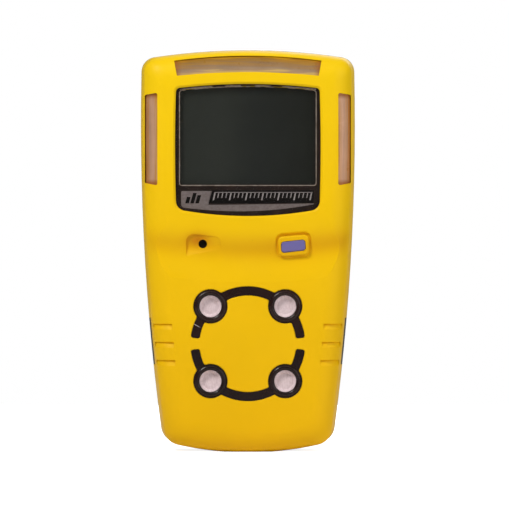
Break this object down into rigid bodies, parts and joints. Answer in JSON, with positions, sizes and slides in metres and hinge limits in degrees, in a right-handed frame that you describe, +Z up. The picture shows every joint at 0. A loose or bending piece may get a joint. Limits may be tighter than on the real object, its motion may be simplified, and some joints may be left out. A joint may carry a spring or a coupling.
{
  "type": "portable gas detector",
  "caption": "Hand-sized gas detector with display, push button, alarm light bars, sensor ports, two-part casing and a sprung belt clip.",
  "frame": {"origin": "middle of the base, halfway between the button's face and the clip's thumb pad", "axes": "+Z up along the body, +X to the wearer's left as the display is read (right in the front view), -Y out of the display"},
  "size_m": [0.0602, 0.045, 0.1126],
  "materials": {
    "casing_yellow": "moulded, fine satin",
    "casing_black": "moulded, fine texture",
    "rubber_black": "moulded rubber, satin",
    "light_bar": "translucent diffuser, polished",
    "window_clear": "polished clear",
    "mask_black": "printed gloss",
    "print_grey": "screen print",
    "lcd_glass": "liquid-crystal glass",
    "key_violet": "soft key, satin",
    "filter_white": "porous membrane",
    "membrane_black": "woven acoustic mesh",
    "foam_grey": "closed-cell foam",
    "board_green": "solder mask",
    "chip_black": "moulded",
    "connector_cream": "moulded",
    "backlight_white": "light guide",
    "zebra_grey": "elastomer",
    "sensor_can": "moulded",
    "battery_sleeve": "shrink sleeve",
    "steel": "stamped, nickel-plated",
    "spring_steel": "drawn wire",
    "screw_steel": "zinc-plated",
    "brass": "turned",
    "gold_contact": "gold flash",
    "tungsten": "sintered",
    "infrared_dark": "infrared-pass",
    "label_grey": "blank film label"
  },
  "bodies": {
    "casing": {"alarm_lamps": "backlight_white", "back_shell": "casing_black", "backlight": "backlight_white", "battery_connector": "connector_cream", "battery_pack": "battery_sleeve", "battery_pad": "foam_grey", "board_chips": "chip_black", "board_connector": "chip_black", "board_screws": "screw_steel", "button_switch": "chip_black", "buzzer": "chip_black", "buzzer_membrane": "membrane_black", "carbon_monoxide_sensor": "sensor_can", "case_screws": "screw_steel", "charging_connector": "chip_black", "charging_contacts": "gold_contact", "clip_base": "steel", "clip_pin": "screw_steel", "clip_screw": "screw_steel", "clip_spring": "spring_steel", "clip_washer": "screw_steel", "combustible_gas_sensor": "steel", "display_board": "board_green", "display_gasket": "foam_grey", "display_window": "window_clear", "front_shell": "casing_yellow", "hydrogen_sulfide_sensor": "sensor_can", "infrared_window": "infrared_dark", "lcd_frame": "steel", "lcd_panel": "lcd_glass", "light_bar_left": "light_bar", "light_bar_right": "light_bar", "light_bar_top": "light_bar", "main_board": "board_green", "motor_bracket": "chip_black", "oxygen_sensor": "sensor_can", "perimeter_seal": "rubber_black", "rear_label": "label_grey", "screw_inserts": "brass", "sensor_filters": "filter_white", "sensor_gasket_lower": "rubber_black", "sensor_gasket_upper": "rubber_black", "sensor_seals": "foam_grey", "sensor_sockets": "brass", "vibration_motor": "steel", "window_mask": "mask_black", "zebra_strips": "zebra_grey"},
    "button": {"button_key": "key_violet"},
    "clip_lever": {"clip_arm": "steel"},
    "rotor": {"motor_shaft": "spring_steel", "vibration_weight": "tungsten"}
  },
  "joints": [
    {"name": "button_press", "type": "slide", "parent": "casing", "child": "button", "axis": [0, 1, 0], "range_m": [0, 0.0008], "stiffness_N_per_m": 1500, "springref_m": -0.0003},
    {"name": "clip_hinge", "type": "hinge", "parent": "casing", "child": "clip_lever", "pos_m": [0, 0.0146, 0.081], "axis": [1, 0, 0], "range_deg": [0, 24], "stiffness_Nm_per_rad": 0.4, "springref_deg": -22.92},
    {"name": "motor_spin", "type": "hinge", "parent": "casing", "child": "rotor", "pos_m": [-0.002, -0.0048, 0.0542], "axis": [1, 0, 0], "continuous": true}
  ]
}
